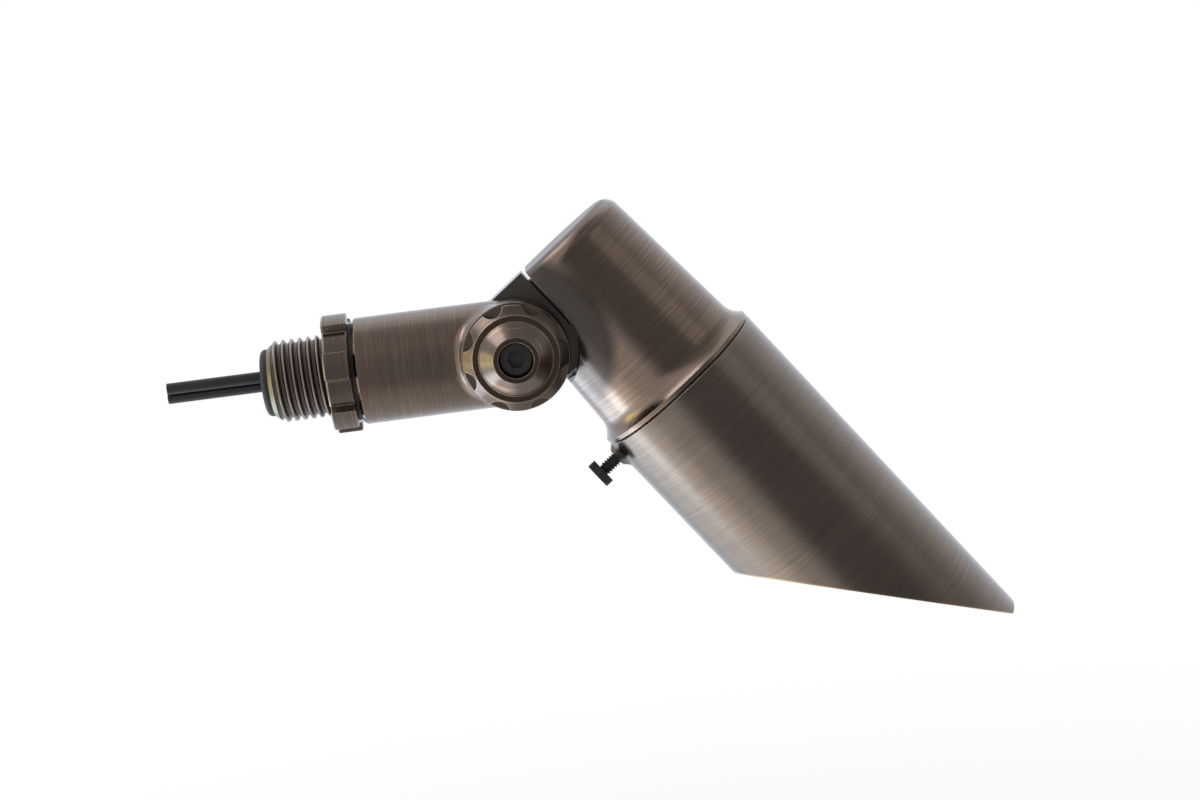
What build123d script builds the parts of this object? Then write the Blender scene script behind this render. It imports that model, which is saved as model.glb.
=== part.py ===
from build123d import *
import os
from math import cos, sin, pi, sqrt, radians, tan

# Adjustable downlight on a threaded nipple, in millimetres.
# Origin: centre of the nipple's free end. +X runs along the arm to the knuckle,
# +Z is up, and the clamp knob faces -Y. The lamp head tilts about Y.

# Pose of the head as shown
tilt_deg = 53.9
hood_turn_deg = -3.6
slant_turn_deg = -9.0

# Clearances
run_gap = 0.05
seat_gap = 0.03
lap_gap = 0.3

# Arm and nipple
arm_r = 13.6
nipple_len = 22.15
shoulder_to_pivot = 40.4
shoulder_chamfer = 0.7
thread_r = 10.475
thread_pitch = 2.14
thread_depth = 1.02
thread_crest = 0.35
nipple_lead_r = 8.7
nipple_lead_len = 0.9
thread_phase = -0.15
wire_bore_r = 4.5
boss_rise = 1.6
boss_edge_round = 0.3
cove_leg = 2.3
cove_step = 0.03
lap_clear = 0.6
chamber_r = 3.4
chamber_y = -6.2
kidney_in_r = 4.9
kidney_inset = 5.3
kidney_depth = 4.5

# Lock nut and its sealing washer
nut_thick = 6.4
nut_r = 15.3
nut_notch_r = 13.1
nut_lugs = 6
nut_lug_deg = 26
nut_phase_deg = 73
nut_edge = 0.3
washer_thick = 1.0
washer_r = 12.3

# Grommet and supply leads
grommet_flange = 1.45
grommet_flange_r = 8.55
grommet_edge = 0.4
grommet_face_r = 6.3
grommet_depth = 6.0
lead_r = 1.5
lead_stub = 26.8
lead_upper_yz = (-0.6, 1.75)
lead_lower_yz = (1.5, -0.75)
lead_inner_len = 6.0

# Pivot bolt, bushing and knob
bolt_r = 2.5
bolt_head_r = 4.25
bolt_head_len = 4.0
bolt_socket_af = 4.0
bolt_socket_depth = 2.6
bolt_reach = 11.0
bushing_wall = 1.0
spring_washer_thick = 0.6
spring_washer_r = 6.2
knob_r = 13.1
knob_face_r = 10.75
knob_hub_base_r = 9.2
knob_hub_r = 5.65
knob_thick = 5.9
knob_hub_rise = 4.1
knob_front_drop = 2.5
knob_back_edge = 0.5
bolt_recess = 3.2
scallops = 8
scallop_r = 2.9
scallop_depth = 1.9
scallop_phase_deg = 19.7
scallop_round = 0.5

# Knuckle lug on the head
lug_thick = 12.7
lug_edge = 0.9
gasket_thick = 1.4
gasket_inset = 3.2
gasket_margin = 0.6
axis_offset = 25.15
flat_to_axis = 9.15
friction_inset = 2.9
friction_width = 2.0
oring_inset = 1.55
oring_sec_r = 0.72
oring_groove = 0.95
insert_wall = 1.0
insert_len = 10.5
lead_hole_r = 1.7
lead_hole_s = -7.0
lead_hole_y = 3.4
lug_screw_r = 1.5
lug_screw_head_r = 2.75
lug_screw_head_len = 3.0
lug_screw_s = 7.6
lug_screw_y = 8.2
lug_screw_seat_u = 6.0
lug_screw_grip = 3.9

# Lamp housing, as stations along the head axis from the pivot and radii
house_back_s = -13.5
house_back_step = 2.3
house_back_round = 3.8
flare_start_s = 27.75
flare_depth = 2.6
lip_s = 32.45
lip_width = 1.0
part_gap = 0.3
spigot_len = 12.75
spigot_wall = 2.25
spigot_edge = 0.4
pocket_r = 15.9
notch_gap = 0.4
rear_wall = 3.2
rear_bore_r = 7.6
shelf_wall = 1.6
shelf_bore_r = 12.6
shelf_bore_len = 1.5
lamp_bore_step = 1.32
lamp_bore_s = 25.5
lens_seat_s = 39.3

# Hood
hood_r = 23.9
hood_wall = 1.95
hood_long_s = 143.1
hood_short_s = 80.35
hood_low_round = 9.0
hood_tip_s = 135.8
hood_tip_round = 1.2
hood_back_edge = 0.45
seal_s = 43.0
seal_sec_r = 0.5

# Thumb screw
thumb_s = 37.6
thumb_r = 1.75
thumb_pitch = 0.794
thumb_thread_depth = 0.4
thumb_head_r = 3.5
thumb_head_thick = 2.2
thumb_stand = 8.3
thumb_knurls = 22
pad_top_r = 2.3
pad_base_r = 6.4
pad_rise = 1.4
pad_sink = 1.0
tip_r = 1.3
tip_len = 1.3

# Optics and lamp
lens_thick = 3.0
lens_gasket_thick = 1.0
lens_gasket_width = 3.02
ring_thick = 2.0
ring_width = 2.42
lamp_face_s = 37.0
lamp_rim_gap = 0.8
lamp_rim_thick = 2.4
lamp_glass = 1.2
bowl_neck_s = 18.0
bowl_neck_r = 7.6
lamp_base_s = 10.0
lamp_base_r = 5.4
lamp_wall = 1.0
capsule_r = 3.0
capsule_len = 11.0
pin_r = 0.5
pin_spacing = 4.0
pin_len = 6.5
holder_r = 7.2
holder_back_s = -1.5
bracket_thick = 1.0
bracket_out_r = 12.3
bracket_in_r = 6.1
bracket_screw_r = 1.25
bracket_screw_pcr = 10.0
bracket_screw_head_r = 2.1
bracket_screw_head_len = 1.3
bracket_screw_len = 6.0
lamp_lead_r = 0.65
lamp_lead_pitch = 1.9
lamp_lead_start_u = 2.4
lamp_lead_bend = 4.6
retainer_wire_r = 0.5

# Derived places
pivot_x = nipple_len + shoulder_to_pivot
core_r = thread_r - thread_depth
lug_half = arm_r
kidney_out_r = arm_r - kidney_inset
friction_out_r = arm_r - friction_inset
friction_in_r = friction_out_r - friction_width
oring_mean_r = arm_r - oring_inset
gasket_half = lug_half - gasket_inset
boss_y = -arm_r - boss_rise
lap_y = -lap_gap
lug_y = lap_gap
knob_back_y = boss_y - spring_washer_thick
knob_front_y = knob_back_y - knob_thick
hub_front_y = knob_front_y - knob_hub_rise
bolt_head_y = hub_front_y + bolt_recess
bolt_seat_y = bolt_head_y + bolt_head_len
bushing_r = bolt_r + run_gap + bushing_wall
flat_u = axis_offset - flat_to_axis
lug_end_u = flat_u - gasket_thick
notch_s = lug_half + notch_gap
shelf_s = notch_s + shelf_wall
flare_start_r = hood_r - flare_depth
house_back_r = flare_start_r - house_back_step
lip_end_s = lip_s + lip_width
hood_back_s = lip_end_s + part_gap
hood_bore_r = hood_r - hood_wall
spigot_r = hood_bore_r - 1.6 * run_gap
spigot_end_s = lip_end_s + spigot_len
spigot_bore_r = spigot_r - spigot_wall
lamp_bore_r = spigot_bore_r - lamp_bore_step
lamp_rim_r = lamp_bore_r - lamp_rim_gap
lens_gasket_in_r = spigot_bore_r - lens_gasket_width
ring_in_r = spigot_bore_r - ring_width
seal_mid_r = spigot_r + 1.6 * run_gap + seal_sec_r
seal_floor_r = seal_mid_r + seal_sec_r + 2 * run_gap
thumb_reach = hood_r + thumb_stand
lens_back_s = lens_seat_s + lens_gasket_thick
ring_back_s = lens_back_s + lens_thick

# Frames of the head: h along the lamp axis, u square to it and away from the pivot
t = radians(tilt_deg)
h = Vector(cos(t), 0, -sin(t))
u = Vector(sin(t), 0, cos(t))
pivot = Vector(pivot_x, 0, 0)
head_origin = pivot + u * axis_offset
knuckle = Plane(origin=pivot, x_dir=h, z_dir=(0, -1, 0))
head_side = Plane(origin=head_origin, x_dir=h, z_dir=(0, -1, 0))
head_end = Plane(origin=head_origin, x_dir=u, z_dir=h)
head_axis = Axis(head_origin, h)
pivot_axis = Axis(pivot, (0, -1, 0))
arm_end = Plane(origin=(0, 0, 0), x_dir=(0, 0, 1), z_dir=(1, 0, 0))

# The hood stands turned on the housing, and its slanting mouth is turned a little from its screw
turn = radians(hood_turn_deg)
screw_up = u * cos(turn) + Vector(0, -sin(turn), 0)
screw_side = Plane(origin=head_origin, x_dir=h, z_dir=h.cross(screw_up))
screw_axis = Axis(head_origin + h * thumb_s, screw_up * -1)
screw_frame = Plane(origin=head_origin + h * thumb_s, x_dir=h, z_dir=screw_up * -1)
slant_turn = radians(hood_turn_deg + slant_turn_deg)
hood_up = u * cos(slant_turn) + Vector(0, -sin(slant_turn), 0)
hood_side = Plane(origin=head_origin, x_dir=h, z_dir=h.cross(hood_up))

os.makedirs("parts", exist_ok=True)


def save(piece, name):
    piece.part.label = name
    export_step(piece.part, f"parts/{name}.step")


def ridge(frame, root_r, height, pitch, depth, crest):
    """One helical thread ridge about the frame's z axis, rooted a little inside the core."""
    half = crest / 2
    foot = half + depth * tan(radians(30))
    sunk = 0.06
    with BuildPart() as tooth:
        with BuildLine() as path:
            Helix(pitch, height, root_r, center=frame.origin, direction=frame.z_dir)
        start = path.line @ 0
        radial = (start - frame.origin).normalized()
        with BuildSketch(Plane(origin=start, x_dir=radial, z_dir=path.line % 0)):
            with BuildLine():
                Polyline((-sunk, -foot), (0, -foot), (depth, -half), (depth, half), (0, foot), (-sunk, foot),
                         close=True)
            make_face()
        sweep(path=path.line, is_frenet=True)
    return tooth.part


# Cove that blends the boss of the lap joint into the round bar
with BuildPart() as boss_cove:
    for station in range(-5, 6):
        across = arm_r * sin(radians(14.5 * station))
        corner = arm_r * cos(radians(14.5 * station))
        corner_x = pivot_x - corner
        leg_y = min(cove_leg, arm_r + boss_rise - boss_edge_round - cove_step - corner)
        with BuildSketch(Plane.XY.offset(across)):
            with BuildLine():
                foot = (corner_x - cove_leg, -corner - cove_step)
                middle = (corner_x - 0.3 * cove_leg, -corner - 0.3 * leg_y)
                head = (corner_x - cove_step, -corner - leg_y)
                ThreePointArc(foot, middle, head)
                Polyline(head, (corner_x + 0.5, -corner - leg_y), (corner_x + 0.5, -corner + 0.5),
                         (corner_x - cove_leg, -corner + 0.5), foot)
            make_face()
    loft()

# Knuckle arm: threaded nipple, round bar and the front half of the lap joint
with BuildPart() as knuckle_arm:
    with BuildSketch(Plane.XZ) as arm_profile:
        with BuildLine():
            Polyline((-thread_pitch, 0), (-thread_pitch, core_r), (nipple_len, core_r),
                     (nipple_len, arm_r - shoulder_chamfer), (nipple_len + shoulder_chamfer, arm_r),
                     (pivot_x, arm_r), (pivot_x, 0), close=True)
        make_face()
    revolve(axis=Axis.X)
    add(ridge(arm_end.offset(thread_phase), core_r, nipple_len - thread_phase - 1.27 * thread_pitch,
              thread_pitch, thread_depth, thread_crest))
    with BuildSketch(Plane.XZ) as nipple_lead:
        with BuildLine():
            lead_slope = (core_r - nipple_lead_r) / nipple_lead_len
            Polyline((0, 0), (0, nipple_lead_r), (thread_pitch * 2, nipple_lead_r + lead_slope * thread_pitch * 2),
                     (-2 * thread_pitch, nipple_lead_r + lead_slope * thread_pitch * 2), (-2 * thread_pitch, 0),
                     close=True)
        make_face()
    revolve(axis=Axis.X, mode=Mode.SUBTRACT)
    with BuildSketch(knuckle.offset(-boss_y)):
        Circle(arm_r)
    extrude(amount=boss_y - lap_y)
    ear_edges = knuckle_arm.edges().filter_by_position(Axis.Y, boss_y - 0.01, boss_y + 0.01)
    fillet(ear_edges, radius=boss_edge_round)
    add(boss_cove)
    with BuildSketch(Plane.XY):
        with Locations((pivot_x, (lap_y + 2 * arm_r) / 2)):
            Rectangle(2 * (arm_r + lap_clear), 2 * arm_r - lap_y)
    extrude(amount=2 * arm_r, both=True, mode=Mode.SUBTRACT)
    with BuildSketch(arm_end.offset(-1)):
        Circle(wire_bore_r)
    extrude(amount=pivot_x - arm_r - lap_clear - 2.0, mode=Mode.SUBTRACT)
    with BuildSketch(arm_end.offset(pivot_x - arm_r - 4)):
        with Locations((0, chamber_y)):
            Circle(chamber_r)
    extrude(amount=arm_r + 4 - kidney_in_r, mode=Mode.SUBTRACT)
    with BuildSketch(knuckle.offset(-lap_y)):
        Circle(kidney_out_r)
        Circle(kidney_in_r, mode=Mode.SUBTRACT)
    extrude(amount=kidney_depth, mode=Mode.SUBTRACT)
    with BuildSketch(knuckle.offset(-boss_y + 1)):
        Circle(bushing_r + seat_gap)
    extrude(amount=boss_y - 2, mode=Mode.SUBTRACT)
save(knuckle_arm, "knuckle_arm")

# Bushing pressed into the arm round the pivot bolt
with BuildPart() as pivot_bushing:
    with BuildSketch(knuckle.offset(-boss_y - seat_gap)):
        Circle(bushing_r)
        Circle(bolt_r + run_gap, mode=Mode.SUBTRACT)
    extrude(amount=boss_y + 2 * seat_gap - lap_y)
save(pivot_bushing, "pivot_bushing")

# Rubber grommet that closes the nipple round the two leads
with BuildPart() as lead_grommet:
    with BuildSketch(Plane.XZ):
        with BuildLine():
            rim = (-seat_gap - grommet_edge, grommet_flange_r)
            face = (-seat_gap - grommet_flange, grommet_face_r)
            TangentArc(rim, face, tangent=(-1, 0.15))
            Polyline(face, (-seat_gap - grommet_flange, 0), (grommet_depth, 0),
                     (grommet_depth, wire_bore_r - seat_gap), (-seat_gap, wire_bore_r - seat_gap),
                     (-seat_gap, grommet_flange_r), rim)
        make_face()
    revolve(axis=Axis.X)
    with BuildSketch(arm_end.offset(-2 * grommet_flange)):
        for lead_y, lead_z in (lead_upper_yz, lead_lower_yz):
            with Locations((lead_z, lead_y)):
                Circle(lead_r + seat_gap)
    extrude(amount=3 * grommet_depth, mode=Mode.SUBTRACT)
save(lead_grommet, "lead_grommet")

# Two supply leads, straight out of the grommet and cut square
with BuildPart() as supply_leads:
    with BuildSketch(arm_end.offset(-lead_stub)):
        for lead_y, lead_z in (lead_upper_yz, lead_lower_yz):
            with Locations((lead_z, lead_y)):
                Circle(lead_r)
    extrude(amount=lead_stub + lead_inner_len)
save(supply_leads, "supply_leads")

# Sealing washer and lock nut on the nipple
nut_face_x = nipple_len - washer_thick - nut_thick
with BuildPart() as nut_washer:
    with BuildSketch(arm_end.offset(nipple_len - washer_thick + seat_gap)):
        Circle(washer_r)
        Circle(thread_r + run_gap, mode=Mode.SUBTRACT)
    extrude(amount=washer_thick - 2 * seat_gap)
save(nut_washer, "nut_washer")

with BuildPart() as lock_nut:
    with BuildSketch(arm_end.offset(nut_face_x)):
        Circle(nut_notch_r)
        with PolarLocations(nut_notch_r - 2, nut_lugs, start_angle=90 - nut_phase_deg):
            Rectangle(2 * (nut_r - nut_notch_r + 2), 2 * nut_r * sin(radians(nut_lug_deg / 2)))
    extrude(amount=nut_thick)
    with BuildSketch(arm_end.offset(nut_face_x)):
        Circle(nut_r)
    extrude(amount=nut_thick, mode=Mode.INTERSECT)
    face_edges = lock_nut.edges().group_by(Axis.X)
    chamfer(face_edges[0] + face_edges[-1], length=nut_edge)
    with BuildSketch(arm_end.offset(nut_face_x)):
        Circle(thread_r + run_gap)
    extrude(amount=nut_thick, mode=Mode.SUBTRACT)
    mouth_edges = lock_nut.edges().filter_by(GeomType.CIRCLE).sort_by(SortBy.RADIUS)[:2]
    chamfer(mouth_edges, length=0.5)
save(lock_nut, "lock_nut")

# Spring washer under the knob
with BuildPart() as spring_washer:
    with BuildSketch(knuckle.offset(-boss_y + seat_gap)):
        Circle(spring_washer_r)
        Circle(bolt_r + run_gap, mode=Mode.SUBTRACT)
    extrude(amount=spring_washer_thick - 2 * seat_gap)
save(spring_washer, "spring_washer")

# Clamp knob: scalloped rim, flat ring and a raised hub round the bolt head
with BuildPart() as clamp_knob:
    rim_shoulder_y = knob_front_y + knob_front_drop
    with BuildSketch(Plane.XY) as knob_profile:
        with BuildLine():
            Polyline((pivot_x, knob_back_y), (pivot_x + knob_r - knob_back_edge, knob_back_y),
                     (pivot_x + knob_r, knob_back_y - knob_back_edge), (pivot_x + knob_r, rim_shoulder_y),
                     (pivot_x + knob_face_r, knob_front_y), (pivot_x + knob_hub_base_r, knob_front_y),
                     (pivot_x + knob_hub_r, hub_front_y), (pivot_x, hub_front_y), close=True)
        make_face()
    revolve(axis=pivot_axis)
    with BuildSketch(knuckle.offset(-hub_front_y)):
        Circle(bolt_head_r + 2 * run_gap)
    extrude(amount=hub_front_y - bolt_seat_y, mode=Mode.SUBTRACT)
    with BuildSketch(knuckle.offset(-hub_front_y)):
        Circle(bolt_r + seat_gap)
    extrude(amount=hub_front_y, mode=Mode.SUBTRACT)
    with BuildSketch(knuckle.offset(-knob_front_y)):
        with PolarLocations(knob_r - scallop_depth + scallop_r, scallops, start_angle=scallop_phase_deg + tilt_deg):
            Circle(scallop_r)
    extrude(amount=-knob_thick - 1, mode=Mode.SUBTRACT)
    lobe_edges = clamp_knob.edges().filter_by(Axis.Y)
    fillet(lobe_edges, radius=scallop_round)
save(clamp_knob, "clamp_knob")

# Socket-head pivot bolt, held in the knob and screwed into the lug
with BuildPart() as pivot_bolt:
    with BuildSketch(knuckle.offset(-bolt_head_y)):
        Circle(bolt_head_r)
    extrude(amount=-bolt_head_len + seat_gap)
    front_rim = pivot_bolt.edges().group_by(Axis.Y)[0]
    chamfer(front_rim, length=0.4)
    with BuildSketch(knuckle.offset(-bolt_head_y)):
        RegularPolygon(bolt_socket_af / 2, 6, major_radius=False)
    extrude(amount=-bolt_socket_depth, mode=Mode.SUBTRACT)
    with BuildSketch(knuckle.offset(1 - bolt_seat_y)):
        Circle(bolt_r)
    extrude(amount=bolt_seat_y - 1 - bolt_reach)
save(pivot_bolt, "pivot_bolt")

# Knuckle lug: the rear half of the lap joint, bolted to the housing's flat
with BuildPart() as knuckle_lug:
    with BuildSketch(knuckle.offset(-lug_y)):
        Circle(lug_half)
        with Locations((0, lug_end_u / 2)):
            Rectangle(2 * lug_half, lug_end_u)
    extrude(amount=-lug_thick)
    rear_rim = knuckle_lug.edges().group_by(Axis.Y)[-1]
    chamfer(rear_rim, length=lug_edge)
    with BuildSketch(knuckle.offset(-lug_y)):
        Circle(bolt_r + run_gap + insert_wall + seat_gap)
    extrude(amount=-insert_len - 1.2, mode=Mode.SUBTRACT)
    with BuildSketch(knuckle.offset(-lug_y)):
        Circle(kidney_out_r)
        Circle(kidney_in_r, mode=Mode.SUBTRACT)
    extrude(amount=-kidney_depth, mode=Mode.SUBTRACT)
    with BuildSketch(knuckle.offset(-lug_y)):
        Circle(oring_mean_r + oring_sec_r + seat_gap)
        Circle(oring_mean_r - oring_sec_r - seat_gap, mode=Mode.SUBTRACT)
    extrude(amount=-oring_groove, mode=Mode.SUBTRACT)
    lug_end = Plane(origin=pivot + u * lug_end_u, x_dir=h, z_dir=u)
    with BuildSketch(lug_end):
        with Locations((lead_hole_s, lead_hole_y)):
            Circle(lead_hole_r)
    extrude(amount=2 - lug_end_u, mode=Mode.SUBTRACT)
    with BuildSketch(lug_end):
        with Locations((-lug_screw_s, lug_screw_y), (lug_screw_s, lug_screw_y)):
            Circle(lug_screw_r + run_gap)
    extrude(amount=-lug_end_u, mode=Mode.SUBTRACT)
    with BuildSketch(lug_end.offset(lug_screw_seat_u - lug_end_u)):
        with Locations((-lug_screw_s, lug_screw_y), (lug_screw_s, lug_screw_y)):
            Circle(lug_screw_head_r + 2 * run_gap)
    extrude(amount=-2 * lug_half, mode=Mode.SUBTRACT)
save(knuckle_lug, "knuckle_lug")

with BuildPart() as thread_insert:
    with BuildSketch(knuckle.offset(-lug_y - seat_gap)):
        Circle(bolt_r + run_gap + insert_wall)
        Circle(bolt_r + run_gap, mode=Mode.SUBTRACT)
    extrude(amount=-insert_len)
save(thread_insert, "thread_insert")

with BuildPart() as friction_washer:
    with BuildSketch(knuckle.offset(-lap_y - seat_gap)):
        Circle(friction_out_r)
        Circle(friction_in_r, mode=Mode.SUBTRACT)
    extrude(amount=-2 * (lap_gap - seat_gap))
save(friction_washer, "friction_washer")

with BuildPart() as knuckle_seal:
    with BuildSketch(Plane.XY):
        with Locations((pivot_x + oring_mean_r, lug_y + oring_groove - oring_sec_r)):
            Circle(oring_sec_r)
    revolve(axis=pivot_axis)
save(knuckle_seal, "knuckle_seal")

with BuildPart() as lug_gasket:
    gasket_low = lug_y + gasket_margin
    gasket_high = lug_y + lug_thick - gasket_margin
    with BuildSketch(lug_end.offset(seat_gap)):
        with Locations((0, (gasket_low + gasket_high) / 2)):
            Rectangle(2 * gasket_half, gasket_high - gasket_low)
        with Locations((lead_hole_s, lead_hole_y)):
            Circle(lead_hole_r, mode=Mode.SUBTRACT)
        with Locations((-lug_screw_s, lug_screw_y), (lug_screw_s, lug_screw_y)):
            Circle(lug_screw_r + run_gap, mode=Mode.SUBTRACT)
    extrude(amount=gasket_thick - 2 * seat_gap)
save(lug_gasket, "lug_gasket")

with BuildPart() as lug_screws:
    screw_seat = lug_end.offset(lug_screw_seat_u - lug_end_u)
    with BuildSketch(screw_seat.offset(-lug_screw_head_len - seat_gap)):
        with Locations((-lug_screw_s, lug_screw_y), (lug_screw_s, lug_screw_y)):
            Circle(lug_screw_head_r)
    extrude(amount=lug_screw_head_len)
    with BuildSketch(screw_seat.offset(-seat_gap)):
        with Locations((-lug_screw_s, lug_screw_y), (lug_screw_s, lug_screw_y)):
            Circle(lug_screw_r)
    extrude(amount=flat_u + lug_screw_grip - lug_screw_seat_u)
    with BuildSketch(screw_seat.offset(-lug_screw_head_len - seat_gap)):
        with Locations((-lug_screw_s, lug_screw_y), (lug_screw_s, lug_screw_y)):
            RegularPolygon(lug_screw_r * 0.85, 6)
    extrude(amount=lug_screw_head_len / 2, mode=Mode.SUBTRACT)
save(lug_screws, "lug_screws")

# Lamp housing: tapered shell, flared lip and the spigot that the hood slips over
with BuildPart() as lamp_housing:
    taper = (flare_start_r - house_back_r) / (flare_start_s - house_back_s)
    round_s = house_back_s + house_back_round
    with BuildSketch(head_side):
        with BuildLine():
            p0 = (house_back_s, house_back_r - house_back_round)
            p1 = (round_s, house_back_r + taper * house_back_round)
            p2 = (flare_start_s, flare_start_r)
            p3 = (lip_s, hood_r)
            Polyline((house_back_s + rear_wall, 0), (house_back_s, 0), p0)
            TangentArc(p0, p1, tangent=(0, 1))
            Line(p1, p2)
            TangentArc(p2, p3, tangent=(1, taper))
            Polyline(p3, (lip_end_s, hood_r), (lip_end_s, spigot_r), (spigot_end_s - spigot_edge, spigot_r),
                     (spigot_end_s, spigot_r - spigot_edge), (spigot_end_s, spigot_bore_r),
                     (lens_seat_s, spigot_bore_r), (lens_seat_s, lamp_bore_r), (lamp_bore_s, lamp_bore_r),
                     (shelf_s + shelf_bore_len, shelf_bore_r), (shelf_s, shelf_bore_r), (shelf_s, rear_bore_r),
                     (house_back_s + rear_wall, rear_bore_r), (house_back_s + rear_wall, 0))
        make_face()
    revolve(axis=head_axis)
    with BuildSketch(knuckle.offset(2 * hood_r)):
        Circle(pocket_r)
        with Locations((notch_s + pocket_r, 0)):
            Rectangle(2 * pocket_r, 3 * pocket_r, mode=Mode.SUBTRACT)
    extrude(amount=-2 * hood_r - lug_y, mode=Mode.SUBTRACT)
    with BuildSketch(knuckle.offset(-lug_y)):
        with Locations(((notch_s + 2 * house_back_s) / 2, flat_u - hood_r)):
            Rectangle(notch_s - 2 * house_back_s, 2 * hood_r)
    extrude(amount=-2 * hood_r, mode=Mode.SUBTRACT)
    with BuildSketch(knuckle.offset(2 * hood_r)):
        with Locations((house_back_s, flat_u - hood_r)):
            Rectangle(-2 * house_back_s, 2 * hood_r)
    extrude(amount=-4 * hood_r, mode=Mode.SUBTRACT)
    flat = Plane(origin=pivot + u * flat_u, x_dir=h, z_dir=u)
    with BuildSketch(flat.offset(-1)):
        with Locations((lead_hole_s, lead_hole_y)):
            Circle(lead_hole_r)
    extrude(amount=flat_to_axis, mode=Mode.SUBTRACT)
    with BuildSketch(flat.offset(-1)):
        with Locations((-lug_screw_s, lug_screw_y), (lug_screw_s, lug_screw_y)):
            Circle(lug_screw_r + run_gap)
    extrude(amount=lug_screw_grip + 1.5, mode=Mode.SUBTRACT)
    with BuildSketch(head_end.offset(shelf_s + 1)):
        with Locations((0, bracket_screw_pcr), (0, -bracket_screw_pcr)):
            Circle(bracket_screw_r + run_gap)
    extrude(amount=-bracket_screw_len - 1.5, mode=Mode.SUBTRACT)
save(lamp_housing, "lamp_housing")

# Lampholder, its bracket and screws
with BuildPart() as lamp_holder:
    socket_s = lamp_base_s - 4 * seat_gap
    with BuildSketch(head_end.offset(holder_back_s)):
        Circle(holder_r)
    extrude(amount=shelf_s - holder_back_s)
    with BuildSketch(head_end.offset(socket_s)):
        Circle(lamp_base_r + 2 * run_gap)
    extrude(amount=shelf_s - socket_s, mode=Mode.SUBTRACT)
    with BuildSketch(head_end.offset(socket_s)):
        with Locations((0, pin_spacing / 2), (0, -pin_spacing / 2)):
            Circle(pin_r + 2 * run_gap)
    extrude(amount=-pin_len - 1, mode=Mode.SUBTRACT)
save(lamp_holder, "lamp_holder")

with BuildPart() as holder_bracket:
    with BuildSketch(head_end.offset(shelf_s + seat_gap)):
        Circle(bracket_out_r)
        Circle(bracket_in_r, mode=Mode.SUBTRACT)
        with Locations((0, bracket_screw_pcr), (0, -bracket_screw_pcr)):
            Circle(bracket_screw_r + run_gap, mode=Mode.SUBTRACT)
    extrude(amount=bracket_thick)
save(holder_bracket, "holder_bracket")

with BuildPart() as bracket_screws:
    head_seat_s = shelf_s + bracket_thick + 2 * seat_gap
    with BuildSketch(head_end.offset(head_seat_s)):
        with Locations((0, bracket_screw_pcr), (0, -bracket_screw_pcr)):
            Circle(bracket_screw_head_r)
    extrude(amount=bracket_screw_head_len)
    with BuildSketch(head_end.offset(head_seat_s)):
        with Locations((0, bracket_screw_pcr), (0, -bracket_screw_pcr)):
            Circle(bracket_screw_r)
    extrude(amount=-bracket_screw_len)
save(bracket_screws, "bracket_screws")

# Lamp: glass reflector, ceramic base, pins, capsule and cover glass
with BuildPart() as lamp_reflector:
    with BuildSketch(head_side):
        with BuildLine():
            rim_back = (lamp_face_s - lamp_rim_thick, lamp_rim_r)
            Polyline((lamp_face_s, lamp_rim_r - lamp_wall), (lamp_face_s, lamp_rim_r), rim_back,
                     (lamp_face_s - lamp_rim_thick, lamp_rim_r - lamp_wall))
            Spline((lamp_face_s - lamp_rim_thick, lamp_rim_r - lamp_wall), (26.5, 13.4), (bowl_neck_s, bowl_neck_r))
            Polyline((bowl_neck_s, bowl_neck_r), (bowl_neck_s, bowl_neck_r - lamp_wall))
            Spline((bowl_neck_s, bowl_neck_r - lamp_wall), (26.5 + lamp_wall, 13.4 - lamp_wall),
                   (lamp_face_s - lamp_glass, lamp_rim_r - lamp_wall - 0.6))
            Polyline((lamp_face_s - lamp_glass, lamp_rim_r - lamp_wall - 0.6),
                     (lamp_face_s - lamp_glass, lamp_rim_r - lamp_wall), (lamp_face_s, lamp_rim_r - lamp_wall))
        make_face()
    revolve(axis=head_axis)
save(lamp_reflector, "lamp_reflector")

with BuildPart() as lamp_cover:
    with BuildSketch(head_end.offset(lamp_face_s - lamp_glass + seat_gap)):
        Circle(lamp_rim_r - lamp_wall - seat_gap)
    extrude(amount=lamp_glass - 2 * seat_gap)
save(lamp_cover, "lamp_cover")

with BuildPart() as lamp_base:
    with BuildSketch(head_end.offset(lamp_base_s)):
        Circle(lamp_base_r)
    extrude(amount=bowl_neck_s - lamp_base_s)
    with BuildSketch(head_end.offset(bowl_neck_s - seat_gap)):
        Circle(bowl_neck_r - lamp_wall - seat_gap)
    extrude(amount=-lamp_wall)
save(lamp_base, "lamp_base")

with BuildPart() as lamp_pins:
    with BuildSketch(head_end.offset(lamp_base_s - seat_gap)):
        with Locations((0, pin_spacing / 2), (0, -pin_spacing / 2)):
            Circle(pin_r)
    extrude(amount=-pin_len)
save(lamp_pins, "lamp_pins")

with BuildPart() as lamp_capsule:
    with BuildSketch(head_side):
        with BuildLine():
            Polyline((bowl_neck_s + seat_gap, 0), (bowl_neck_s + seat_gap, capsule_r),
                     (bowl_neck_s + capsule_len - capsule_r, capsule_r))
            RadiusArc((bowl_neck_s + capsule_len - capsule_r, capsule_r), (bowl_neck_s + capsule_len, 0), capsule_r)
            Line((bowl_neck_s + capsule_len, 0), (bowl_neck_s + seat_gap, 0))
        make_face()
    revolve(axis=head_axis)
save(lamp_capsule, "lamp_capsule")

# Sprung wire ring that keeps the lamp's rim against the lens gasket
with BuildPart() as lamp_retainer:
    with BuildSketch(head_side):
        with Locations((lamp_face_s + retainer_wire_r + seat_gap, lamp_bore_r - retainer_wire_r - seat_gap)):
            Circle(retainer_wire_r)
    revolve(axis=head_axis, revolution_arc=325)
save(lamp_retainer, "lamp_retainer")

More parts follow.
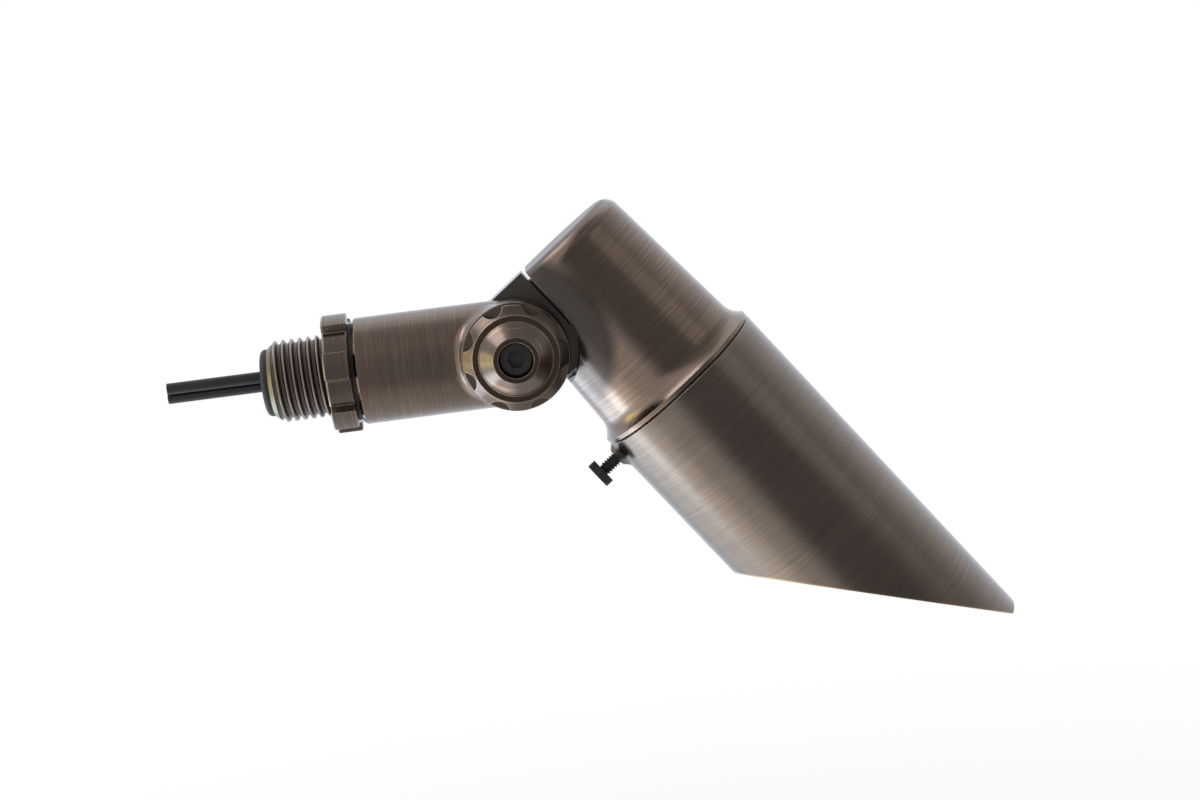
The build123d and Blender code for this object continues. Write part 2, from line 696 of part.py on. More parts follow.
# Lamp leads from the knuckle's chamber to the lampholder
with BuildPart() as lamp_leads:
    for lead_side in (-0.5, 0.5):
        lead_y = lead_hole_y + lead_side * lamp_lead_pitch
        start = pivot + h * lead_hole_s + u * lamp_lead_start_u + Vector(0, lead_y, 0)
        corner = pivot + h * lead_hole_s + u * (axis_offset - 0.5) + Vector(0, lead_y, 0)
        finish = pivot + h * (holder_back_s - seat_gap) + u * (axis_offset - 0.5) + Vector(0, lead_y, 0)
        with BuildLine() as route:
            FilletPolyline(start, corner, finish, radius=lamp_lead_bend)
        with BuildSketch(Plane(origin=start, x_dir=h, z_dir=u)):
            Circle(lamp_lead_r)
        sweep(path=route.line)
save(lamp_leads, "lamp_leads")

# Lens stack in the spigot
with BuildPart() as lens_gasket:
    with BuildSketch(head_end.offset(lens_seat_s + seat_gap)):
        Circle(spigot_bore_r - seat_gap)
        Circle(lens_gasket_in_r, mode=Mode.SUBTRACT)
    extrude(amount=lens_gasket_thick - 2 * seat_gap)
save(lens_gasket, "lens_gasket")

with BuildPart() as lens:
    with BuildSketch(head_end.offset(lens_back_s)):
        Circle(spigot_bore_r - 2 * seat_gap)
    extrude(amount=lens_thick)
    lens_rims = lens.edges()
    chamfer(lens_rims, length=0.3)
save(lens, "lens")

with BuildPart() as lens_ring:
    with BuildSketch(head_end.offset(ring_back_s + seat_gap)):
        Circle(spigot_bore_r - seat_gap)
        Circle(ring_in_r, mode=Mode.SUBTRACT)
    extrude(amount=ring_thick)
    with BuildSketch(head_end.offset(ring_back_s + ring_thick + seat_gap)):
        with Locations((0, ring_in_r), (0, -ring_in_r)):
            Rectangle(2.0, 2.0)
    extrude(amount=-ring_thick / 2, mode=Mode.SUBTRACT)
save(lens_ring, "lens_ring")

# Seal ring carried in a groove of the hood's bore
with BuildPart() as hood_seal:
    with BuildSketch(head_side):
        with Locations((seal_s, seal_mid_r)):
            Circle(seal_sec_r)
    revolve(axis=head_axis)
save(hood_seal, "hood_seal")

# Hood: tube cut on the slant, its low edge eased and its tip cut square, with a pad for the thumb screw
with BuildPart() as hood:
    slope = (hood_long_s - hood_short_s) / (2 * hood_r)
    over = 0.3
    low_r = -hood_r - over
    low_s = hood_short_s - over * slope
    tip_r_at = hood_r - (hood_long_s - hood_tip_s) / slope
    with BuildSketch(hood_side):
        with BuildLine():
            e = hood_back_edge
            Polyline((hood_back_s, hood_bore_r), (hood_back_s, hood_r - e), (hood_back_s + e, hood_r),
                     (hood_long_s + 2, hood_r), (hood_long_s + 2, hood_bore_r), close=True)
        make_face()
    revolve(axis=head_axis)
    with BuildSketch(screw_side):
        with BuildLine():
            Polyline((thumb_s, -hood_bore_r - 0.3), (thumb_s, -hood_r - pad_rise),
                     (thumb_s - pad_top_r, -hood_r - pad_rise))
            TangentArc((thumb_s - pad_top_r, -hood_r - pad_rise), (thumb_s - pad_base_r, -hood_r + pad_sink),
                       tangent=(-0.9, 1))
            Polyline((thumb_s - pad_base_r, -hood_r + pad_sink), (thumb_s - pad_base_r, -hood_bore_r - 0.3),
                     (thumb_s, -hood_bore_r - 0.3))
        make_face()
    revolve(axis=screw_axis)
    with BuildSketch(head_end.offset(hood_back_s + e)):
        Circle(2 * hood_r)
    extrude(amount=-3 * pad_base_r, mode=Mode.SUBTRACT)
    with BuildSketch(hood_side):
        with BuildLine():
            Polyline((hood_back_s, hood_bore_r), (hood_back_s, hood_r - e), (hood_back_s + e, hood_r),
                     (hood_back_s + 2 * e, hood_r), (hood_back_s + 2 * e, hood_bore_r), close=True)
        make_face()
    revolve(axis=head_axis)
    with BuildSketch(hood_side):
        with BuildLine():
            FilletPolyline((low_s - 3 * hood_low_round, low_r), (low_s, low_r), (hood_tip_s, tip_r_at),
                           (hood_tip_s, 2 * hood_r), radius=[hood_low_round, hood_tip_round])
            Polyline((hood_tip_s, 2 * hood_r), (hood_long_s + hood_r, 2 * hood_r),
                     (hood_long_s + hood_r, -2 * hood_r), (low_s - 3 * hood_low_round, -2 * hood_r),
                     (low_s - 3 * hood_low_round, low_r))
        make_face()
    extrude(amount=2 * hood_r, both=True, mode=Mode.SUBTRACT)
    with BuildSketch(head_side):
        with Locations((seal_s, seal_floor_r - 1.5 * seal_sec_r)):
            Rectangle(2 * seal_sec_r + 6 * run_gap, 3 * seal_sec_r)
    revolve(axis=head_axis, mode=Mode.SUBTRACT)
    with BuildSketch(screw_frame.offset(hood_bore_r - 2)):
        Circle(thumb_r + run_gap)
    extrude(amount=hood_wall + pad_rise + 4, mode=Mode.SUBTRACT)
save(hood, "hood")

# Nylon tip and knurled thumb screw
tip_start = hood_bore_r + 0.04
with BuildPart() as screw_tip:
    with BuildSketch(screw_frame.offset(tip_start)):
        Circle(tip_r)
    extrude(amount=tip_len)
save(screw_tip, "screw_tip")

with BuildPart() as thumb_screw:
    shank_start = tip_start + tip_len + seat_gap
    head_start = thumb_reach - thumb_head_thick
    with BuildSketch(screw_frame.offset(shank_start)):
        Circle(thumb_r - thumb_thread_depth)
    extrude(amount=head_start - shank_start)
    add(ridge(screw_frame.offset(shank_start + thumb_pitch / 2), thumb_r - thumb_thread_depth,
              head_start - shank_start - thumb_pitch, thumb_pitch, thumb_thread_depth, 0.12))
    with BuildSketch(screw_frame.offset(head_start)):
        Circle(thumb_head_r)
        with PolarLocations(thumb_head_r, thumb_knurls):
            Circle(0.28, mode=Mode.SUBTRACT)
    extrude(amount=thumb_head_thick)
save(thumb_screw, "thumb_screw")
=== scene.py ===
import math

import bmesh
import bpy
from mathutils import Matrix, Vector


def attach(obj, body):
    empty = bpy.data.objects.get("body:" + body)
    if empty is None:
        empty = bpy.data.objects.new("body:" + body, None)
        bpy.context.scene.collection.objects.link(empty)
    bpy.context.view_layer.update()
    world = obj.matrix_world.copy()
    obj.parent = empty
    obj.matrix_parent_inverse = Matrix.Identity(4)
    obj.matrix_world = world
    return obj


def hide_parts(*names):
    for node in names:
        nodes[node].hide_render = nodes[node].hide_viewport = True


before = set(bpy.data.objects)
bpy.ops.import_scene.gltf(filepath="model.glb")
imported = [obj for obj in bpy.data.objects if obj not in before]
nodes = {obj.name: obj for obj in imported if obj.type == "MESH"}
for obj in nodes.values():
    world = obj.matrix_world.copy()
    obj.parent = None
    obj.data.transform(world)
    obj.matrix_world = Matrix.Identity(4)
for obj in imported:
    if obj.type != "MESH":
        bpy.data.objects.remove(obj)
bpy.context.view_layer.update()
scene = bpy.context.scene

# Places of the object, in metres
PIVOT = Vector((0.06255, 0, 0))
TILT = math.radians(53.9)
HEAD_DIR = Vector((math.cos(TILT), 0, -math.sin(TILT)))
HEAD_UP = Vector((math.sin(TILT), 0, math.cos(TILT)))
HEAD = PIVOT + HEAD_UP * 0.02515
SLANT_TURN = math.radians(-12.6)
HOOD_UP = HEAD_UP * math.cos(SLANT_TURN) + Vector((0, -math.sin(SLANT_TURN), 0))
SCREW_TURN = math.radians(-3.6)
SCREW_UP = HEAD_UP * math.cos(SCREW_TURN) + Vector((0, -math.sin(SCREW_TURN), 0))
SCREW = HEAD + HEAD_DIR * 0.0376
ORIGIN = Vector((0, 0, 0))
X_AXIS = Vector((1, 0, 0))
TO_CAMERA = Vector((0, -1, 0))

# Where each mark on the metal begins and where it is full, in metres along or off its piece's axis
THREAD_END = (0.0205, 0.0200)
CREST_R = (0.01005, 0.01035)
CONE_END = (0.0014, 0.0009)
POCKET_R = (0.01596, 0.01592)
POCKET_REACH = (0.0300, 0.0290)
POCKET_WALL = (0.0, 0.001)
KNUCKLE_REFLECTION_R = (0.0265, 0.0225)
REAR_START = (-0.0120, -0.0131)
GROOVE_IN = (0.0090, 0.0093)
GROOVE_OUT = (0.0109, 0.0106)
HUB_R = (0.0059, 0.0056)
FACE_R = (0.0108, 0.0112)
SCREW_SHADOW_R = (0.0058, 0.0030)
UNDERSIDE = (0.0, -0.01)
MOUTH_SLOPE = 1.3128
MOUTH_START = 0.111726
MOUTH_RUB = (-0.0008, -0.0003)

# Colours of the antiqued brass between its brushed lines, and of what is rubbed bare
DARK = (0.105, 0.076, 0.058)
LIGHT = (0.215, 0.156, 0.115)
SCRATCH = (0.52, 0.31, 0.17)
RUBBED = (0.62, 0.50, 0.38)

# Camera, solved from the photograph
CAMERA_PLACE = (0.069263, -0.53861, 0.049571)
LENS = 63.52
AZ, EL, ROLL = (math.radians(a) for a in (-1.378, 6.863, -7.251))
back = Vector((math.sin(AZ) * math.cos(EL), -math.cos(AZ) * math.cos(EL), math.sin(EL)))
side = (-back).cross(Vector((0, 0, 1))).normalized()
down = (-back).cross(side)
right = side * math.cos(ROLL) - down * math.sin(ROLL)
up = -(side * math.sin(ROLL) + down * math.cos(ROLL))
cam_data = bpy.data.cameras.new("camera")
cam_data.lens = LENS
cam_data.sensor_width = 36
cam_data.clip_start = 0.01
cam = bpy.data.objects.new("camera", cam_data)
scene.collection.objects.link(cam)
cam.matrix_world = Matrix.Translation(CAMERA_PLACE) @ Matrix(
    (right, up, back)).transposed().to_4x4()
scene.camera = cam
scene.view_settings.view_transform = "Standard"


class Tree:
    """Short form for building a node tree: new nodes, links and plain values."""

    def __init__(self, owner):
        owner.use_nodes = True
        self.tree = owner.node_tree
        self.tree.nodes.clear()

    def add(self, kind, values=None, **props):
        node = self.tree.nodes.new(kind)
        for key, value in props.items():
            setattr(node, key, value)
        for key, value in (values or {}).items():
            self.put(node, key, value)
        return node

    def put(self, node, key, value):
        socket = node.inputs[key]
        if isinstance(value, bpy.types.NodeSocket):
            self.tree.links.new(value, socket)
        else:
            socket.default_value = value

    def math(self, operation, a, b=None, clamp=False):
        values = {0: a} if b is None else {0: a, 1: b}
        return self.add("ShaderNodeMath", values, operation=operation, use_clamp=clamp).outputs[0]

    def span(self, value, low, high, to_low=0.0, to_high=1.0, smooth=True):
        kind = "SMOOTHSTEP" if smooth else "LINEAR"
        node = self.add("ShaderNodeMapRange", {0: value, 1: low, 2: high, 3: to_low, 4: to_high},
                        interpolation_type=kind)
        return node.outputs[0]

    def mix(self, factor, a, b, blend="MIX"):
        node = self.add("ShaderNodeMix", data_type="RGBA", blend_type=blend)
        self.put(node, 0, factor)
        self.put(node, 6, a)
        self.put(node, 7, b)
        return node.outputs[2]

    def noise(self, vector, scale, detail=2.0, rough=0.5):
        node = self.add("ShaderNodeTexNoise", {"Vector": vector, "Scale": scale, "Detail": detail,
                                               "Roughness": rough})
        return node.outputs[0]


def rgba(r, g, b):
    return (r, g, b, 1.0)


def turned_frame(tree, point, direction):
    """Coordinates along an axis and square to it: (along, across, across), in metres."""
    coords = tree.add("ShaderNodeTexCoord")
    turn = Vector(direction).to_track_quat("X", "Z").to_euler()
    mapping = tree.add("ShaderNodeMapping", {"Vector": coords.outputs["Object"]}, vector_type="TEXTURE")
    mapping.inputs["Location"].default_value = point
    mapping.inputs["Rotation"].default_value = turn
    parts = tree.add("ShaderNodeSeparateXYZ", {0: mapping.outputs[0]})
    return parts.outputs[0], parts.outputs[1], parts.outputs[2], coords.outputs["Object"]


def brushed(name, point, direction, dark, light, fine=0.00028, coarse=0.009, rough=0.25,
            bump=0.00002, coat=0.4, edge=0.35, scratches=0.5, marks=(), rounded=0.0):
    """Antiqued brass, brushed round an axis: fine lines, cloudy patina and rubbed edges."""
    material = bpy.data.materials.new(name)
    t = Tree(material)
    along, across, depth, whole = turned_frame(t, point, direction)
    radius = t.math("SQRT", t.math("ADD", t.math("MULTIPLY", across, across),
                                   t.math("MULTIPLY", depth, depth)))
    run = t.math("ADD", along, t.math("MULTIPLY", radius, 1.3))

    def lines(width, length, detail):
        place = t.add("ShaderNodeCombineXYZ", {0: t.math("DIVIDE", run, width),
                                               1: t.math("DIVIDE", across, length),
                                               2: t.math("DIVIDE", depth, length)})
        return t.noise(place.outputs[0], 1.0, detail, 0.6)

    thin = lines(fine, coarse, 3.0)
    wide = lines(fine * 6, coarse * 2.2, 2.0)
    patina = t.noise(whole, 75.0, 3.0, 0.55)
    mixed = t.math("ADD", t.math("MULTIPLY", thin, 0.7), t.math("MULTIPLY", wide, 0.3))
    streak = t.span(mixed, 0.15, 0.85, smooth=False)
    worn = t.math("ADD", t.math("MULTIPLY", streak, 0.8), t.math("MULTIPLY", patina, 0.3))
    colour = t.mix(t.math("SUBTRACT", worn, 0.05, clamp=True), rgba(*dark), rgba(*light))
    scratch = t.span(lines(fine * 0.28, coarse * 1.9, 1.0), 0.56, 0.74)
    colour = t.mix(t.math("MULTIPLY", scratch, scratches), colour, rgba(*SCRATCH))
    geometry = t.add("ShaderNodeNewGeometry")
    soft = t.add("ShaderNodeBevel", {"Radius": 0.00035}, samples=3)
    facing = t.add("ShaderNodeVectorMath", {0: soft.outputs[0], 1: geometry.outputs["Normal"]},
                   operation="DOT_PRODUCT").outputs["Value"]
    rim = t.span(facing, 0.985, 0.90)
    roughness = t.math("ADD", t.math("MULTIPLY", mixed, 0.12), rough - 0.06)
    for mask, tone, grade in marks:
        part = mask(t, whole, along, radius, geometry.outputs["Normal"])
        colour = t.mix(part, colour, rgba(*tone))
        change = t.math("MULTIPLY", part, t.math("SUBTRACT", grade, roughness))
        roughness = t.math("ADD", roughness, change)
    colour = t.mix(t.math("MULTIPLY", rim, edge), colour, rgba(*RUBBED))
    relief = t.add("ShaderNodeBump", {"Strength": 1.0, "Distance": bump, "Height": thin})
    if rounded:
        curve = t.add("ShaderNodeBevel", {"Radius": rounded}, samples=4)
        t.put(relief, "Normal", curve.outputs[0])
    shader = t.add("ShaderNodeBsdfPrincipled", {
        "Base Color": colour, "Metallic": 1.0, "Roughness": roughness, "Normal": relief.outputs[0],
        "Coat Weight": coat, "Coat Roughness": 0.15, "Coat IOR": 1.5})
    t.add("ShaderNodeOutputMaterial", {0: shader.outputs[0]})
    return material


def plain(name, colour, rough, metallic=0.0, grain=900.0, bump=0.00002, spread=0.35):
    """A moulded, turned or ceramic surface with a little grain and uneven colour."""
    material = bpy.data.materials.new(name)
    t = Tree(material)
    coords = t.add("ShaderNodeTexCoord")
    grains = t.noise(coords.outputs["Object"], grain, 3.0, 0.6)
    cloud = t.noise(coords.outputs["Object"], grain / 12, 2.0, 0.5)
    low = rgba(*(c * (1 - spread) for c in colour))
    high = rgba(*(min(1.0, c * (1 + spread)) for c in colour))
    both = t.math("ADD", t.math("MULTIPLY", grains, 0.5), t.math("MULTIPLY", cloud, 0.5))
    tone = t.mix(t.span(both, 0.3, 0.7), low, high)
    roughness = t.math("ADD", t.math("MULTIPLY", cloud, 0.2), rough - 0.1)
    relief = t.add("ShaderNodeBump", {"Strength": 1.0, "Distance": bump, "Height": grains})
    shader = t.add("ShaderNodeBsdfPrincipled", {
        "Base Color": tone, "Metallic": metallic, "Roughness": roughness, "Normal": relief.outputs[0]})
    t.add("ShaderNodeOutputMaterial", {0: shader.outputs[0]})
    return material


def glass(name, tint, rough):
    """Clear glass, a little smeared."""
    material = bpy.data.materials.new(name)
    t = Tree(material)
    coords = t.add("ShaderNodeTexCoord")
    smear = t.noise(coords.outputs["Object"], 240.0, 2.0, 0.5)
    roughness = t.math("ADD", t.math("MULTIPLY", smear, 0.04), rough)
    colour = t.mix(smear, rgba(*(c * 0.97 for c in tint)), rgba(*tint))
    shader = t.add("ShaderNodeBsdfPrincipled", {
        "Base Color": colour, "Roughness": roughness, "IOR": 1.47, "Transmission Weight": 1.0})
    t.add("ShaderNodeOutputMaterial", {0: shader.outputs[0]})
    return material


def dot(t, vector, axis):
    """How far a vector reaches along an axis."""
    return t.add("ShaderNodeVectorMath", {0: vector, 1: axis}, operation="DOT_PRODUCT").outputs["Value"]


def offset(t, whole, point):
    """The way from a point to the place being shaded."""
    return t.add("ShaderNodeVectorMath", {0: whole, 1: point}, operation="SUBTRACT").outputs[0]


def off_axis(t, whole, point, axis):
    """Distance from a line through a point."""
    away = offset(t, whole, point)
    cross = t.add("ShaderNodeVectorMath", {0: away, 1: axis}, operation="CROSS_PRODUCT").outputs[0]
    return t.add("ShaderNodeVectorMath", {0: cross}, operation="LENGTH").outputs["Value"]


def thread(t, whole, along, radius, normal):
    """The threaded run of the nipple, dark and unbrushed."""
    return t.math("MULTIPLY", t.span(along, *THREAD_END), 0.85)


def crest(t, whole, along, radius, normal):
    """Crests of the thread, rubbed bright."""
    return t.math("MULTIPLY", t.math("MULTIPLY", t.span(radius, *CREST_R), 0.8),
                  t.span(along, *THREAD_END))


def lead_cone(t, whole, along, radius, normal):
    """Turned lead of the nipple, where some brass shows."""
    return t.math("MULTIPLY", t.span(along, *CONE_END), 0.35)


def painted_pocket_shade(t, whole, along, radius, normal):
    """Walls of the knuckle's recess and notch, painted dark as the shade that falls in them."""
    arc = t.span(off_axis(t, whole, PIVOT, TO_CAMERA), *POCKET_R, smooth=False)
    wall = t.math("MULTIPLY", t.span(dot(t, normal, -HEAD_DIR), 0.97, 0.99), t.span(along, *POCKET_WALL))
    seat = t.span(dot(t, normal, -HEAD_UP), 0.985, 0.995)
    near = t.span(off_axis(t, whole, PIVOT, TO_CAMERA), *POCKET_REACH, smooth=False)
    flats = t.math("MULTIPLY", t.math("MAXIMUM", wall, seat), near)
    return t.math("MULTIPLY", t.math("MAXIMUM", arc, flats), 0.92)


def painted_knuckle_reflection(t, whole, along, radius, normal):
    """Painted reflection of the dark knob and arm: a darker tone on the front of the housing round the
    knuckle.
    """
    near = t.span(off_axis(t, whole, PIVOT, TO_CAMERA), *KNUCKLE_REFLECTION_R)
    front = t.span(dot(t, normal, TO_CAMERA), 0.35, 0.80)
    return t.math("MULTIPLY", t.math("MULTIPLY", near, front), 0.9)


def painted_rear_shade(t, whole, along, radius, normal):
    """The housing's flat back: rougher than its side, with its colour painted darker as shade."""
    return t.math("MULTIPLY", t.span(along, *REAR_START), 0.8)


def knob_flats(t, whole, along, radius, normal):
    """Groove and hub of the knob, where the patina is left dark."""
    ring = t.math("MULTIPLY", t.span(radius, *GROOVE_IN), t.span(radius, *GROOVE_OUT))
    hub = t.span(radius, *HUB_R)
    return t.math("MULTIPLY", t.math("MAXIMUM", ring, hub), 0.85)


def knob_face(t, whole, along, radius, normal):
    """Scalloped face of the knob, a shade darker than its cone."""
    return t.math("MULTIPLY", t.span(radius, *FACE_R), 0.6)


def painted_screw_shadow(t, whole, along, radius, normal):
    """Painted shadow of the thumb screw and its boss on the hood round the screw."""
    near = t.span(off_axis(t, whole, SCREW, SCREW_UP), *SCREW_SHADOW_R)
    under = t.span(dot(t, offset(t, whole, HEAD), SCREW_UP), *UNDERSIDE)
    return t.math("MULTIPLY", t.math("MULTIPLY", near, under), 0.85)


def mouth_edge(t, whole, along, radius, normal):
    """Rubbed edge of the hood's slanting mouth."""
    rise = dot(t, offset(t, whole, HEAD), HOOD_UP)
    slanted = t.math("SUBTRACT", along, t.math("MULTIPLY", rise, MOUTH_SLOPE))
    plane = t.math("SUBTRACT", slanted, MOUTH_START)
    return t.math("MULTIPLY", t.span(plane, *MOUTH_RUB), 0.6)


# One look for each kind of surface. A mark is its mask, colour and roughness
looks = {
    "arm": brushed("bronze_arm", ORIGIN, X_AXIS, DARK, LIGHT, rounded=0.0002,
                   marks=((thread, (0.040, 0.035, 0.031), 0.5),
                          (crest, (0.36, 0.29, 0.23), 0.32),
                          (lead_cone, (0.36, 0.29, 0.14), 0.3))),
    "nut": brushed("bronze_nut", ORIGIN, X_AXIS, (0.078, 0.060, 0.047), (0.150, 0.114, 0.088),
                   edge=0.8, rounded=0.0003),
    "knob": brushed("bronze_knob", PIVOT, TO_CAMERA, (0.092, 0.064, 0.048), (0.190, 0.135, 0.100),
                    coarse=0.006, edge=0.9, rounded=0.0003,
                    marks=((knob_flats, (0.070, 0.040, 0.024), 0.3),
                           (knob_face, (0.066, 0.042, 0.030), 0.27))),
    "lug": brushed("bronze_lug", PIVOT, TO_CAMERA, (0.090, 0.082, 0.070), (0.150, 0.132, 0.112),
                   edge=0.1, scratches=0.1),
    "housing": brushed("bronze_housing", HEAD, HEAD_DIR, DARK, LIGHT, coarse=0.012, rough=0.21, scratches=0.8,
                       # Painted reflection of the knuckle, dark on the housing's front
                       marks=((painted_knuckle_reflection, (0.030, 0.024, 0.019), 0.24),
                              # Back painted darker as shade, and rougher
                              (painted_rear_shade, (0.10, 0.075, 0.06), 0.55),
                              # Knuckle recess and notch walls painted dark as shade
                              (painted_pocket_shade, (0.022, 0.020, 0.018), 0.45))),
    "hood": brushed("bronze_hood", HEAD, HEAD_DIR, (0.100, 0.078, 0.061), (0.205, 0.160, 0.122), coarse=0.016,
                    bump=0.000012, rough=0.24, scratches=0.3,
                    # Painted shadow round the thumb screw
                    marks=((painted_screw_shadow, (0.040, 0.028, 0.020), 0.45),
                           (mouth_edge, (0.42, 0.28, 0.13), 0.3))),
    "ring": brushed("bronze_ring", HEAD, HEAD_DIR, DARK, LIGHT),
    "steel": plain("steel", (0.55, 0.54, 0.52), 0.3, metallic=1.0, spread=0.12),
    "black_steel": plain("black_steel", (0.042, 0.039, 0.036), 0.40, metallic=0.4, spread=0.3),
    "bolt": plain("bolt_black", (0.055, 0.052, 0.05), 0.35, metallic=0.6, spread=0.3),
    "rubber": plain("rubber", (0.017, 0.0165, 0.016), 0.6, spread=0.4, bump=0.00004),
    "jacket": plain("lead_jacket", (0.013, 0.013, 0.014), 0.32, spread=0.3),
    "nylon": plain("nylon", (0.72, 0.70, 0.63), 0.45, spread=0.08),
    "ceramic": plain("ceramic", (0.78, 0.76, 0.70), 0.65, spread=0.08),
    "sleeve": plain("sleeve", (0.62, 0.60, 0.55), 0.7, grain=1800.0, spread=0.2),
    "mirror": plain("reflector", (0.80, 0.81, 0.84), 0.12, metallic=1.0, spread=0.08, grain=400.0),
    "glass": glass("clear_glass", (0.97, 0.99, 0.985), 0.02),
}
dressed = {
    "arm": ["knuckle_arm"], "nut": ["lock_nut"], "knob": ["clamp_knob"], "lug": ["knuckle_lug"],
    "housing": ["lamp_housing"], "hood": ["hood"], "ring": ["lens_ring"],
    "steel": ["pivot_bushing", "spring_washer", "thread_insert", "lug_screws", "holder_bracket",
              "bracket_screws", "lamp_pins", "lamp_retainer"],
    "bolt": ["pivot_bolt"], "black_steel": ["thumb_screw"],
    "rubber": ["lead_grommet", "nut_washer", "knuckle_seal", "lug_gasket", "lens_gasket", "hood_seal"],
    "jacket": ["supply_leads"], "nylon": ["friction_washer", "screw_tip"],
    "ceramic": ["lamp_holder", "lamp_base"], "sleeve": ["lamp_leads"], "mirror": ["lamp_reflector"],
    "glass": ["lens", "lamp_cover", "lamp_capsule"],
}
for look, names in dressed.items():
    for name in names:
        nodes[name].data.materials.clear()
        nodes[name].data.materials.append(looks[look])

# Supply leads: two straight stubs, each its own cord, from inside the nipple to their bare ends
LEAD_R = 0.0015
LEAD_START = 0.006
for name, y, z, end in (("lead_upper", -0.0006, 0.00175, -0.0264),
                        ("lead_lower", 0.0015, -0.00075, -0.0268)):
    curve = bpy.data.curves.new(name, "CURVE")
    curve.dimensions = "3D"
    curve.bevel_depth = LEAD_R
    curve.bevel_resolution = 8
    curve.use_fill_caps = True
    line = curve.splines.new("NURBS")
    line.points.add(4)
    for point, x in zip(line.points, (LEAD_START, -0.002, -0.010, -0.018, end)):
        point.co = (x, y, z, 1)
    line.order_u = 3
    line.use_endpoint_u = True
    lead = bpy.data.objects.new(name, curve)
    scene.collection.objects.link(lead)
    curve.materials.append(looks["jacket"])
    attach(lead, "arm")
    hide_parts("supply_leads")

# Floor: pale, keeps the shadow, and fades into the white background at its rim
FLOOR_Z = -0.30
FLOOR_R = 0.9
floor_mesh = bpy.data.meshes.new("floor")
disc = bmesh.new()
bmesh.ops.create_circle(disc, cap_ends=True, segments=96, radius=FLOOR_R)
disc.to_mesh(floor_mesh)
disc.free()
floor = bpy.data.objects.new("floor", floor_mesh)
floor.location = (0.09, 0, FLOOR_Z)
scene.collection.objects.link(floor)
floor_look = bpy.data.materials.new("floor")
t = Tree(floor_look)
spot = t.add("ShaderNodeTexCoord")
reach = t.add("ShaderNodeVectorMath", {0: spot.outputs["Object"]}, operation="LENGTH").outputs["Value"]
fade = t.span(reach, 0.35, 0.85, 0.86, 1.0)
path = t.add("ShaderNodeLightPath")
seen = t.math("MAXIMUM", path.outputs["Is Camera Ray"], path.outputs["Is Transmission Ray"])
cover = t.math("MULTIPLY", seen, fade)
matte = t.add("ShaderNodeBsdfDiffuse", {"Color": rgba(0.78, 0.78, 0.78)})
white = t.add("ShaderNodeEmission", {"Color": rgba(1, 1, 1), "Strength": 1.0})
clear = t.add("ShaderNodeBsdfTransparent")
blend = t.add("ShaderNodeMixShader", {0: cover, 1: matte.outputs[0], 2: white.outputs[0]})
blend = t.add("ShaderNodeMixShader", {0: path.outputs["Is Glossy Ray"], 1: blend.outputs[0],
                                      2: clear.outputs[0]})
t.add("ShaderNodeOutputMaterial", {0: blend.outputs[0]})
floor_mesh.materials.append(floor_look)

# World: white where the camera looks. The metal sees bright behind and dim in front, with panels
# low, high and straight to the left
STRAIGHT_LEFT = (-1.0, 0.10, 0.02)
HIGH_LEFT = (-0.589, 0.10, 0.80)
LOW_LEFT = (-0.72, 0.1, -0.68)
PLAIN_LIGHT = rgba(0.98, 1.0, 1.06)
BACK_LIGHT = rgba(0.94, 1.0, 1.12)
SILVER_LIGHT = rgba(0.86, 1.04, 1.28)
WARM_LIGHT = rgba(2.8, 2.7, 1.75)
DIFFUSE_LIGHT = rgba(0.6, 0.6, 0.6)
world = bpy.data.worlds.new("studio")
scene.world = world
t = Tree(world)
direction = t.add("ShaderNodeTexCoord").outputs["Generated"]
parts = t.add("ShaderNodeSeparateXYZ", {0: direction})
dx, dy, dz = parts.outputs[0], parts.outputs[1], parts.outputs[2]


def panel(aim, low, high):
    """One soft round patch of light towards a direction."""
    return t.span(dot(t, direction, Vector(aim).normalized()), low, high)


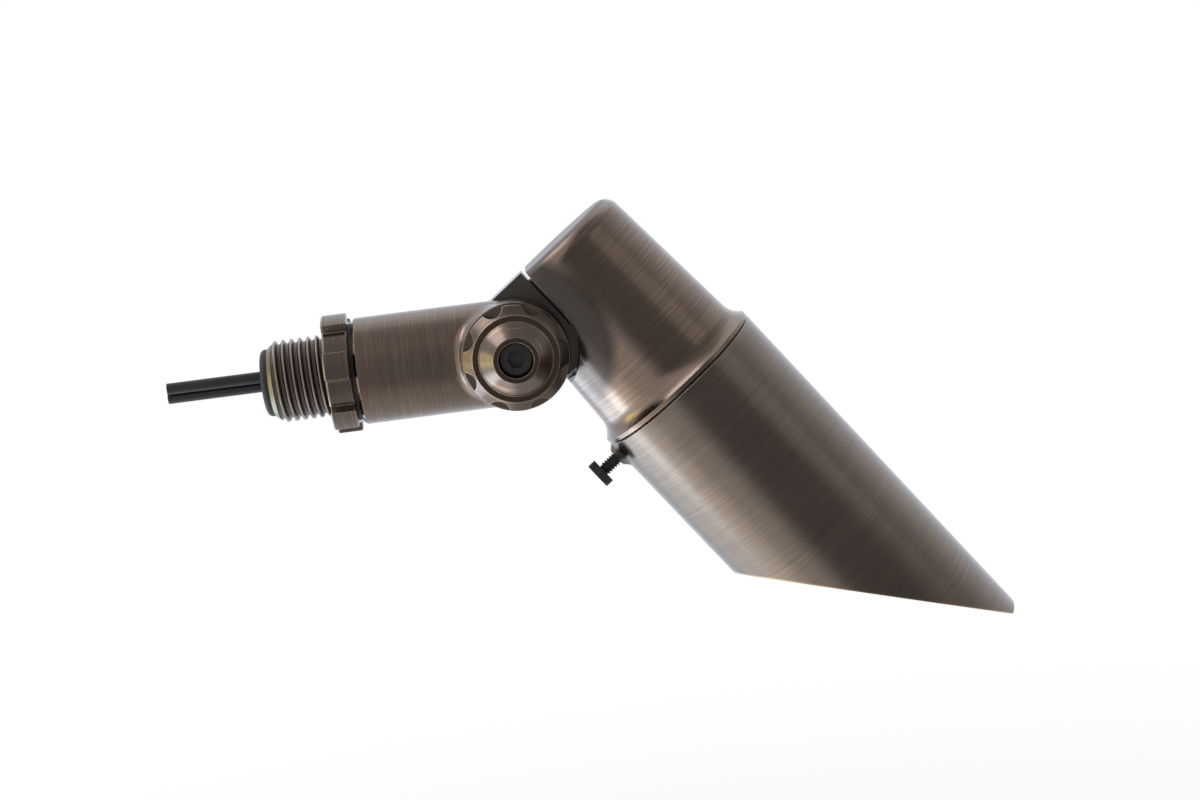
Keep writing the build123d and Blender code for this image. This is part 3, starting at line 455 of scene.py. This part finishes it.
behind = t.span(dy, -0.35, 0.80)
front = t.math("SUBTRACT", 1.0, behind)
above = t.math("MULTIPLY", t.span(dz, 0.2, 0.9), 0.12)
below = t.math("MULTIPLY", t.span(dz, -0.4, -1.0), 0.35)
on_left = t.math("MULTIPLY", t.span(dx, -0.03, -0.36), 0.75)
in_front = t.math("MULTIPLY", front, t.math("ADD", above, t.math("ADD", below, on_left)))
on_right = t.math("MULTIPLY", t.span(dx, 0.6, 0.95), 0.2)
low_left = t.math("MULTIPLY", panel(LOW_LEFT, 0.70, 0.95), 0.8)
tip_over = t.math("SUBTRACT", t.math("MULTIPLY", dz, 0.66), t.math("MULTIPLY", dx, 0.75))
low_strip = t.math("MULTIPLY", t.span(tip_over, 0.04, 0.10), t.span(tip_over, 0.45, 0.30))
low_strip = t.math("MULTIPLY", low_strip, t.math("MULTIPLY", t.span(dy, -0.25, 0.0),
                                                 t.span(dy, 0.90, 0.60)))
low_strip = t.math("MULTIPLY", low_strip, t.span(dz, -0.30, -0.45))
high_left = t.math("MULTIPLY", panel(HIGH_LEFT, 0.955, 0.98), 2.6)
level = t.math("ADD", 0.25, t.math("MULTIPLY", behind, 0.70))
low_edge = t.math("MULTIPLY", low_strip, t.span(dy, 0.24, 0.06))
low_band = t.math("ADD", t.math("MULTIPLY", low_strip, 1.9), t.math("MULTIPLY", low_edge, 2.6))
for part in (in_front, on_right, low_left, high_left, low_band):
    level = t.math("ADD", level, part)
warm = panel(STRAIGHT_LEFT, 0.96, 0.99)
cool = t.mix(behind, PLAIN_LIGHT, BACK_LIGHT)
cool = t.mix(low_strip, cool, SILVER_LIGHT)
glossy = t.mix(warm, cool, WARM_LIGHT)
glossy = t.add("ShaderNodeVectorMath", {0: glossy}, operation="SCALE")
t.put(glossy, "Scale", level)
path = t.add("ShaderNodeLightPath")
seen = t.math("MAXIMUM", path.outputs["Is Camera Ray"], path.outputs["Is Transmission Ray"])
colour = t.mix(path.outputs["Is Glossy Ray"], DIFFUSE_LIGHT, glossy.outputs[0])
colour = t.mix(seen, colour, rgba(1, 1, 1))
sky = t.add("ShaderNodeBackground", {"Color": colour, "Strength": 1.0})
t.add("ShaderNodeOutputWorld", {0: sky.outputs[0]})


def softbox(name, place, aim, size, power):
    """A rectangular lamp that faces a point of the object."""
    lamp = bpy.data.lights.new(name, "AREA")
    lamp.shape = "RECTANGLE"
    lamp.size, lamp.size_y = size
    lamp.energy = power
    box = bpy.data.objects.new(name, lamp)
    box.location = place
    box.rotation_euler = (Vector(aim) - Vector(place)).to_track_quat("-Z", "Y").to_euler()
    scene.collection.objects.link(box)


softbox("key", (-0.75, -0.35, -0.12), (0.07, 0, -0.02), (0.5, 0.7), 0.3)
softbox("top", (0.05, 0.45, 0.75), (0.07, 0, -0.02), (0.9, 0.6), 0.5)
softbox("fill", (0.9, -0.5, 0.5), (0.1, 0, -0.04), (0.5, 0.5), 0.2)
